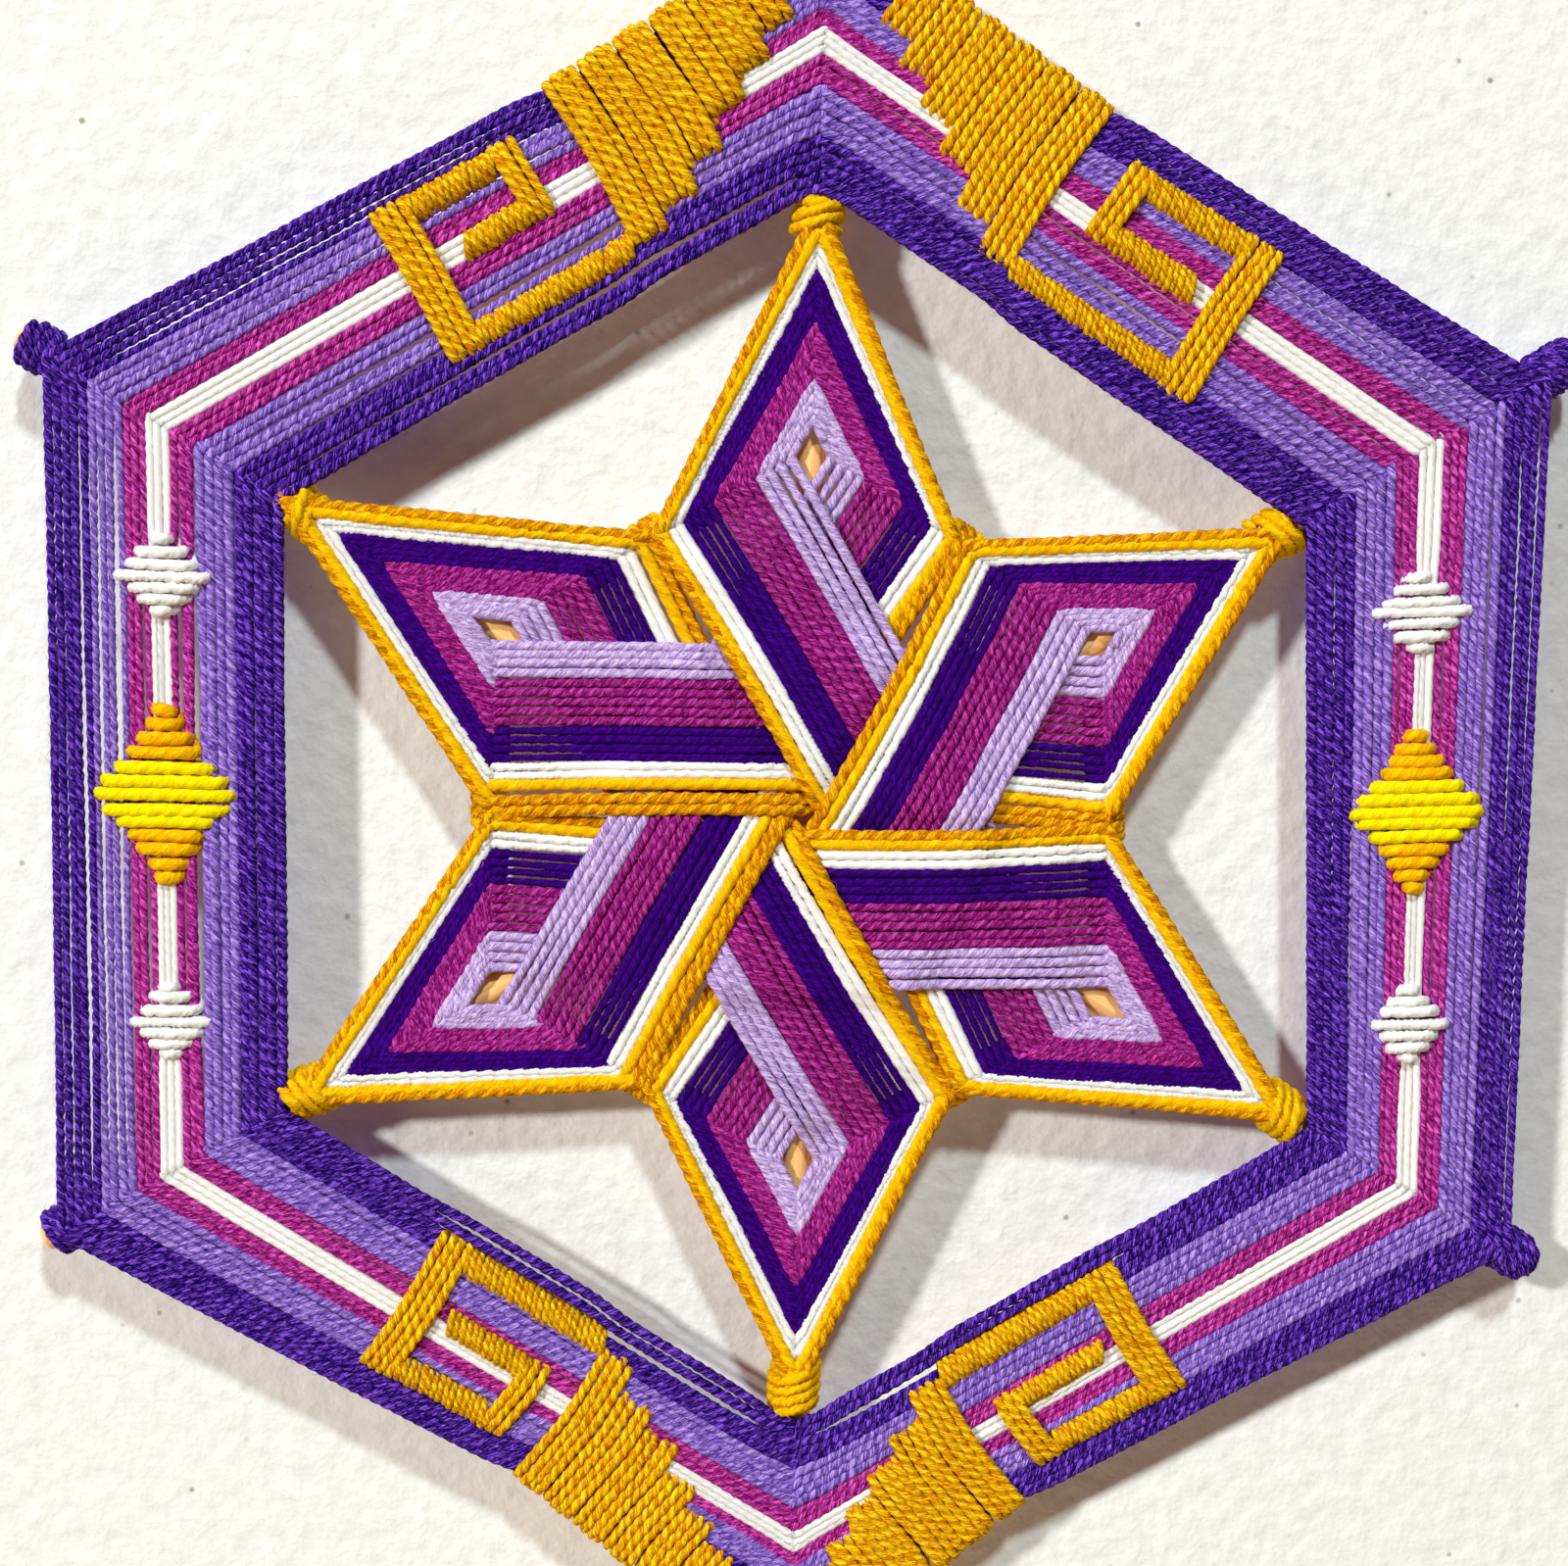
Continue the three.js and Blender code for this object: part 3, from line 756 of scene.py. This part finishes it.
frame_bands = (
    ("indigo_inner", "indigo", indigo, 94.3, 102.5, 5),
    ("violet_inner", "violet", violet, 102.5, 109.2, 4),
    ("magenta_inner", "magenta", magenta, 109.2, 113.3, 3),
    ("white", "white", white, 113.3, 117.3, 3),
    ("magenta_outer", "magenta", magenta, 117.3, 121.1, 3),
    ("violet_outer", "violet", violet, 121.1, 127.1, 4),
    ("indigo_outer", "indigo", indigo, 127.1, 134.5, 5),
)
for band, colour, finish, inside, outside, loops in frame_bands:
    pitch = (outside - inside) / loops
    thickness = 0.66 * pitch
    section = soft_yarn if colour == "white" else plied_yarn
    route = frame_route(band, inside, pitch, loops, 0.7 * thickness)
    piece = spin_yarn(f"yarn_frame_{band}", [route], thickness, frame_ply, finish, section)
    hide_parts(f"frame_{band}")

# Whippings on the sticks
# Yarn wound close round the arms: indigo on the six stubs outside the frame, two of which it
# closes over, and golden in two layers over the tips of the star, up to the frame.
turn_spacing = 1.75
closing_turns = 2.2
closing_points = 36
stub_from = 133.2
bare_end = 1.5
stub_thread = 0.9
stub_thickness = 1.06
tip_from = 29.4
tip_to = 92.4
least_length = 3.5
tip_thread = 1.1
tip_swell = 1.8
under_slant = 0.3
over_slant = 0.4


def whipping(along, from_out, to_out, radius, thread, start_angle, front=0.0, closes=False):
    across = np.array([along[1], -along[0]])
    turns = abs(to_out - from_out) / (turn_spacing * thread)
    count = max(8, int(turns * 16) + 1)
    share = np.linspace(0, 1, count)
    angle = start_angle + share * turns * 2 * math.pi
    reach = np.full(count, radius + thread)
    out = from_out + share * (to_out - from_out)
    if closes:
        spin = np.linspace(0, closing_turns * 2 * math.pi, closing_points)[1:]
        angle = np.concatenate([angle, angle[-1] + spin])
        fall = np.linspace(0, 1, closing_points)[1:]
        reach = np.concatenate([reach, (radius + thread) * (1 - 0.93 * fall)])
        out = np.concatenate([out, to_out + thread * (0.4 + 2.6 * np.sin(fall * math.pi / 2))])
    plan = np.outer(out, along) + np.outer(reach * np.sin(angle), across)
    height = reach * np.cos(angle) + front * np.maximum(np.cos(angle), 0)
    return np.column_stack([plan, height])


for arm in range(6):
    out = arm_ways(arm)[0]
    closed = arm in (1, 2)
    first = corner_reach(arm, stub_from)
    last = stick_length / 2 - stub_trims[arm] - bare_end
    route = whipping(out, first, last, stick_radius + 0.5, stub_thread, arm, closes=closed)
    name = f"stub_whipping_{arm + 1}"
    piece = spin_yarn(f"yarn_{name}", [route], stub_thickness, frame_ply, indigo, plied_yarn)
    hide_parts(name)

for arm in range(6):
    out, clockwise = arm_ways(arm)
    first = np.linalg.norm(tip_point(arm, tip_from))
    last = max(corner_reach(arm, tip_to), first + least_length)
    under = whipping(out, first, last, stick_radius + 0.1, tip_thread, arm, tip_swell)
    over = whipping(out, last, first, stick_radius + 0.7, tip_thread, arm + 2, tip_swell)
    under[:, :2] -= np.outer(under[:, :2] @ clockwise, out) * under_slant
    over[:, :2] += np.outer(over[:, :2] @ clockwise, out) * over_slant
    route = np.concatenate([under, over])
    piece = spin_yarn(f"yarn_tip_whipping_{arm + 1}", [route], tip_thread, 7.0, golden, soft_yarn)
    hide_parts(f"tip_whipping_{arm + 1}")

# Stepped blocks
# On the four slanting sides, mustard yarn is lashed round the frame in six steps, each of which
# takes in fewer strands than the last, so that the block climbs like a stair to the top or foot.
mustard = yarn_finish("mustard_wool", dye(208, 98, 0), dye(255, 200, 4), dye(255, 230, 36), 0.5)
lash_thread = 0.9


def frame_height(place):
    return 3.4 + 0.56 * place / 66


def lashing(side, turns, thread, bulge):
    # Turns round part of the frame: place at the inside, place at the outside, inside, outside.
    # A path goes round one turn by its share of the width, threads beyond that, and level.
    points = []
    for place_in, place_out, inside, outside in turns:
        height = frame_height(place_in)
        front = height + 0.8 + 0.9 * thread
        back = height - 0.8 - 0.9 * thread
        swell = bulge + draws.normal(0, 0.1)
        path = [(0.0, -0.5, height), (0.0, 0.2, front - 0.4), (0.0, 1.0, front + 0.1 * swell)]
        shoulder = front + 0.8 * swell
        path += [(0.3, 0, shoulder), (0.5, 0, front + swell), (0.7, 0, shoulder)]
        path += [(1.0, -1.0, front + 0.1 * swell), (1.0, -0.2, front - 0.4), (1.0, 0.5, height)]
        path += [(1.0, -0.2, back + 0.4), (0.8, 0, back), (0.2, 0, back), (0.0, 0.2, back + 0.4)]
        for share, threads, level in path:
            apothem = inside + (outside - inside) * share + threads * thread
            place = place_in + (place_out - place_in) * share
            points.append((*side_point(side, apothem, place), level))
    return np.array(points)


# For each slanting side: its hand, where its block starts, the inside of each step and how far
# the outer edge flares; then the middle of the two crosswise legs of its key and the key's end.
ornaments = (
    (5, 1, 20.6, (101.2, 104.0, 108.2, 113.4, 117.5, 122.5), 0.07, -13.3, 9.2, -4.6),
    (0, -1, 16.8, (101.2, 104.6, 110.4, 114.8, 119.5, 124.3), 0.08, -20.8, 6.0, -13.6),
    (2, 1, 26.6, (101.2, 106.7, 111.6, 115.9, 121.4, 126.4), 0.20, -8.4, 17.9, -1.6),
    (3, -1, 17.0, (101.7, 107.0, 111.4, 116.4, 121.8, 126.8), 0.20, -15.7, 8.5, -9.0),
)
step_length = 7.3
block_outside = 133.4
turns_per_step = 4
for number, (side, hand, start, insides, flare, *_) in enumerate(ornaments):
    turns = []
    for step, inside in enumerate(insides):
        middle = start + (step + 0.5) * step_length
        for turn in range(turns_per_step):
            place = middle + (turn - (turns_per_step - 1) / 2) * step_length / turns_per_step
            gathered_place = middle + (place - middle) * 0.93 + draws.normal(0, 0.12)
            outside = block_outside + flare * (place - start) + 0.5 * math.cos((turn - 1.5) * 0.9)
            reach = inside + draws.normal(0, 0.2)
            place = place + draws.normal(0, 0.12)
            turns.append((hand * place, hand * gathered_place, reach, outside))
    route = lashing(side, turns, lash_thread, 0.3)
    piece = spin_yarn(f"yarn_stepped_block_{number + 1}", [route], 1.04, 4.8, mustard, plied_yarn)
    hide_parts(f"stepped_block_{number + 1}")

# Keys
# Beside each block a squared spiral is drawn in mustard yarn: close turns round a few strands
# where it runs along the frame, and a few long turns where it crosses from stripe to stripe.
key_thread = 0.62
key_pitch = 1.15
rail_lean = -1.5
leg_outside = 127.8


def close_turns(hand, start, stop, inside, outside, lean):
    count = max(3, int(round(abs(stop - start) / key_pitch)))
    turns = []
    for place in np.linspace(start, stop, count):
        place_in = hand * (place + lean / 2) + draws.normal(0, 0.1)
        place_out = hand * (place - lean / 2) + draws.normal(0, 0.1)
        reach_in = inside + draws.normal(0, 0.14)
        reach_out = outside + draws.normal(0, 0.14)
        turns.append((place_in, place_out, reach_in, reach_out))
    return turns


def long_turns(hand, middle, inside, outside, count, pitch):
    turns = []
    for turn in range(count):
        place = hand * (middle + (turn - (count - 1) / 2) * pitch)
        turns.append((place + draws.normal(0, 0.12), place + draws.normal(0, 0.15), inside, outside))
    return turns


for number, (side, hand, start, _, _, first_leg, second_leg, end) in enumerate(ornaments):
    inner_rail = 112.6 if side in (5, 0) else 110.8
    edge_rail = 99.4 if side in (5, 0) else 98.6
    along_legs = [
        close_turns(hand, start - 0.3, first_leg + 3.4, edge_rail, 103.4, rail_lean),
        close_turns(hand, first_leg + 3.4, second_leg - 3.0, 123.2, 127.7, rail_lean),
        close_turns(hand, second_leg - 2.4, end, inner_rail, inner_rail + 4.0, rail_lean),
    ]
    across_legs = [
        long_turns(hand, first_leg, edge_rail - 0.1, leg_outside, 4, 1.75),
        long_turns(hand, second_leg, inner_rail + 0.2, leg_outside, 3, 1.7),
    ]
    routes = [lashing(side, leg, key_thread, 0.9) for leg in along_legs]
    piece = spin_yarn(f"yarn_key_along_{number + 1}", routes, 0.76, 4.0, mustard, soft_yarn)
    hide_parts(f"key_{number + 1}")
    routes = [lashing(side, leg, lash_thread, 0.5) for leg in across_legs]
    piece = spin_yarn(f"yarn_key_across_{number + 1}", routes, 1.02, 4.8, mustard, plied_yarn)
    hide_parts(f"key_{number + 1}")

# Diamonds
# On the two upright sides, turns of white yarn and of yellow yarn round the white stripe widen
# and narrow again, which draws two small white diamonds and a large yellow one on each side.
lemon = yarn_finish("lemon_wool", dye(248, 208, 0), dye(255, 240, 2), dye(255, 246, 16), 0.12)
saffron = yarn_finish("saffron_wool", dye(248, 158, 0), dye(255, 196, 2), dye(255, 214, 14), 0.2)
diamond_middle = 114.6
white_pitch = 2.05
white_thread = 0.95
yellow_reach = 0.95
yellow_thread = 1.05
yellow_thickness = 1.3


def diamond(side, middle, reach, halves, first, last, pitch, thread):
    turns = []
    for turn in range(first, last):
        place = middle - (turn - (len(halves) - 1) / 2) * pitch + draws.normal(0, 0.1)
        half = reach * halves[turn] - thread
        inside = diamond_middle - half + draws.normal(0, 0.2)
        outside = diamond_middle + half + draws.normal(0, 0.2)
        turns.append((place + draws.normal(0, 0.12), place + draws.normal(0, 0.12), inside, outside))
    return lashing(side, turns, thread, 0.35)


white_halves = (2.5, 4.5, 6.0, 8.1, 6.0, 4.5, 2.3)
yellow_halves = (2.5, 3.6, 5.3, 6.9, 9.5, 11.9, 13.2, 11.8, 9.4, 7.1, 5.5, 3.9, 2.6)
# For each upright side: place and width of its white diamonds, then place and pitch of the yellow.
diamond_places = (
    (4, (-39.0, 0.95), (40.0, 1.06), 1.6, 2.45),
    (1, (-37.6, 1.2), (36.0, 0.97), -2.2, 2.25),
)
for number, (side, first_white, second_white, yellow_place, pitch) in enumerate(diamond_places):
    for end, (place, reach) in enumerate((first_white, second_white)):
        route = diamond(side, place, reach, white_halves, 0, 7, white_pitch, white_thread)
        name = f"white_diamond_{2 * number + end + 1}"
        piece = spin_yarn("yarn_" + name, [route], 1.14, 7.0, white, soft_yarn)
        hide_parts(name)
    route = diamond(side, yellow_place, yellow_reach, yellow_halves, 4, 9, pitch, yellow_thread)
    name = f"yellow_diamond_{number + 1}"
    piece = spin_yarn("yarn_" + name, [route], yellow_thickness, 6.0, lemon, soft_yarn)
    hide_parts(name)
    ends = [
        diamond(side, yellow_place, yellow_reach, yellow_halves, 0, 4, pitch, yellow_thread),
        diamond(side, yellow_place, yellow_reach, yellow_halves, 9, 13, pitch, yellow_thread),
    ]
    name = f"yarn_diamond_ends_{number + 1}"
    piece = spin_yarn(name, ends, yellow_thickness, 6.0, saffron, soft_yarn)

bpy.data.objects.remove(soft_yarn)
bpy.data.objects.remove(plied_yarn)

# Wall, floor and light
# A pale plastered wall stands just behind the mandala and a pale floor well below it. The wall
# shows its front only, so that the back of the mandala can be seen as well, against a pale room.
wall_place = 0.0085
wall_size = 3
wall_height = 0.88
floor_place = -0.75


def plaster_finish(name, dark, light):
    material = bpy.data.materials.new(name)
    material.use_nodes = True
    nodes = material.node_tree.nodes
    links = material.node_tree.links
    shader = nodes["Principled BSDF"]
    shader.inputs["Roughness"].default_value = 0.95
    shader.inputs["Specular IOR Level"].default_value = 0.1
    place = nodes.new("ShaderNodeTexCoord")
    mottle = nodes.new("ShaderNodeTexNoise")
    mottle.inputs["Scale"].default_value = 240
    mottle.inputs["Detail"].default_value = 8
    links.new(place.outputs["Object"], mottle.inputs["Vector"])
    tint = nodes.new("ShaderNodeValToRGB")
    tint.color_ramp.elements[0].position = 0.3
    tint.color_ramp.elements[0].color = dark
    tint.color_ramp.elements[1].position = 0.7
    tint.color_ramp.elements[1].color = light
    links.new(mottle.outputs["Fac"], tint.inputs["Fac"])
    grit = nodes.new("ShaderNodeTexVoronoi")
    grit.inputs["Scale"].default_value = 170
    links.new(place.outputs["Object"], grit.inputs["Vector"])
    kinds = nodes.new("ShaderNodeSeparateColor")
    links.new(grit.outputs["Color"], kinds.inputs["Color"])
    share = nodes.new("ShaderNodeMapRange")
    share.inputs["From Min"].default_value = 0.6
    share.inputs["From Max"].default_value = 1
    share.inputs["To Min"].default_value = 0
    share.inputs["To Max"].default_value = 0.8
    links.new(kinds.outputs["Red"], share.inputs["Value"])
    spot = nodes.new("ShaderNodeMapRange")
    spot.inputs["From Min"].default_value = 0.05
    spot.inputs["From Max"].default_value = 0.12
    links.new(share.outputs["Result"], spot.inputs["To Min"])
    spot.inputs["To Max"].default_value = 0
    links.new(grit.outputs["Distance"], spot.inputs["Value"])
    speckled = nodes.new("ShaderNodeMix")
    speckled.data_type = "RGBA"
    speckled.inputs["B"].default_value = dye(128, 118, 104)
    links.new(spot.outputs["Result"], speckled.inputs["Factor"])
    links.new(tint.outputs["Color"], speckled.inputs["A"])
    links.new(speckled.outputs["Result"], shader.inputs["Base Color"])
    relief = nodes.new("ShaderNodeBump")
    relief.inputs["Strength"].default_value = 0.8
    relief.inputs["Distance"].default_value = 0.001
    links.new(mottle.outputs["Fac"], relief.inputs["Height"])
    links.new(relief.outputs["Normal"], shader.inputs["Normal"])
    face = nodes.new("ShaderNodeNewGeometry")
    clear = nodes.new("ShaderNodeBsdfTransparent")
    pick = nodes.new("ShaderNodeMixShader")
    links.new(face.outputs["Backfacing"], pick.inputs["Fac"])
    links.new(shader.outputs["BSDF"], pick.inputs[1])
    links.new(clear.outputs["BSDF"], pick.inputs[2])
    links.new(pick.outputs["Shader"], nodes["Material Output"].inputs["Surface"])
    return material


plaster = plaster_finish("pale_plaster", dye(228, 229, 224), dye(240, 241, 236))
clear_selection()
bpy.ops.mesh.primitive_plane_add(size=wall_size, rotation=(math.pi / 2, 0, 0))
wall = bpy.context.object
wall.name = "wall"
wall.location = (0, wall_place, wall_height)
bpy.ops.object.transform_apply(location=True, rotation=True, scale=True)
wall.data.materials.append(plaster)
wall.visible_shadow = False
floor_finish = plaster_finish("pale_floor", dye(232, 208, 182), dye(240, 218, 194))
clear_selection()
bpy.ops.mesh.primitive_plane_add(size=1.0, location=(0, -0.45, floor_place))
floor = bpy.context.object
floor.name = "floor"
bpy.ops.object.transform_apply(location=True, rotation=True, scale=True)
floor.data.materials.append(floor_finish)

world = bpy.data.worlds.new("studio")
bpy.context.scene.world = world
world.use_nodes = True
world_nodes = world.node_tree.nodes
world_links = world.node_tree.links
room_light = world_nodes["Background"]
room_light.inputs["Color"].default_value = (1, 0.5, 0.34, 1)
room_light.inputs["Strength"].default_value = 0.12
backdrop = world_nodes.new("ShaderNodeBackground")
backdrop.inputs["Color"].default_value = dye(232, 232, 228)
rays = world_nodes.new("ShaderNodeLightPath")
mirrored = world_nodes.new("ShaderNodeMath")
mirrored.operation = "MAXIMUM"
world_links.new(rays.outputs["Is Glossy Ray"], mirrored.inputs[0])
world_links.new(rays.outputs["Is Transmission Ray"], mirrored.inputs[1])
seen = world_nodes.new("ShaderNodeMath")
seen.operation = "MAXIMUM"
world_links.new(rays.outputs["Is Camera Ray"], seen.inputs[0])
world_links.new(mirrored.outputs["Value"], seen.inputs[1])
room = world_nodes.new("ShaderNodeMixShader")
world_links.new(seen.outputs["Value"], room.inputs["Fac"])
world_links.new(room_light.outputs["Background"], room.inputs[1])
world_links.new(backdrop.outputs["Background"], room.inputs[2])
world_links.new(room.outputs["Shader"], world_nodes["World Output"].inputs["Surface"])


def lamp(name, place, size, power, colour):
    light = bpy.data.lights.new(name, "AREA")
    light.shape = "DISK"
    light.size = size
    light.energy = power
    light.color = colour
    holder = bpy.data.objects.new(name, light)
    bpy.context.scene.collection.objects.link(holder)
    holder.location = place
    aim = holder.location.normalized()
    holder.rotation_euler = aim.to_track_quat("Z", "Y").to_euler()
    return holder


lamp("left_lamp", (-2.4, -2.5, 1.15), 0.32, 110, (1.0, 0.985, 0.96))
lamp("upper_lamp", (0.42, -2.5, 2.6), 0.32, 86, (0.84, 0.97, 1.0))
lamp("back_fill", (0.3, 1.3, 0.5), 0.8, 9, (1.0, 1.0, 1.0))

camera_data = bpy.data.cameras.new("camera")
camera_data.lens = 58.5
camera_data.clip_start = 0.01
camera = bpy.data.objects.new("camera", camera_data)
bpy.context.scene.collection.objects.link(camera)
camera.location = (-0.0257, -0.4593, 0.0572)
camera_turns = (83.66, -1.07, -2.71)
camera.rotation_euler = [math.radians(turn) for turn in camera_turns]
bpy.context.scene.camera = camera
bpy.context.scene.view_settings.view_transform = "Standard"
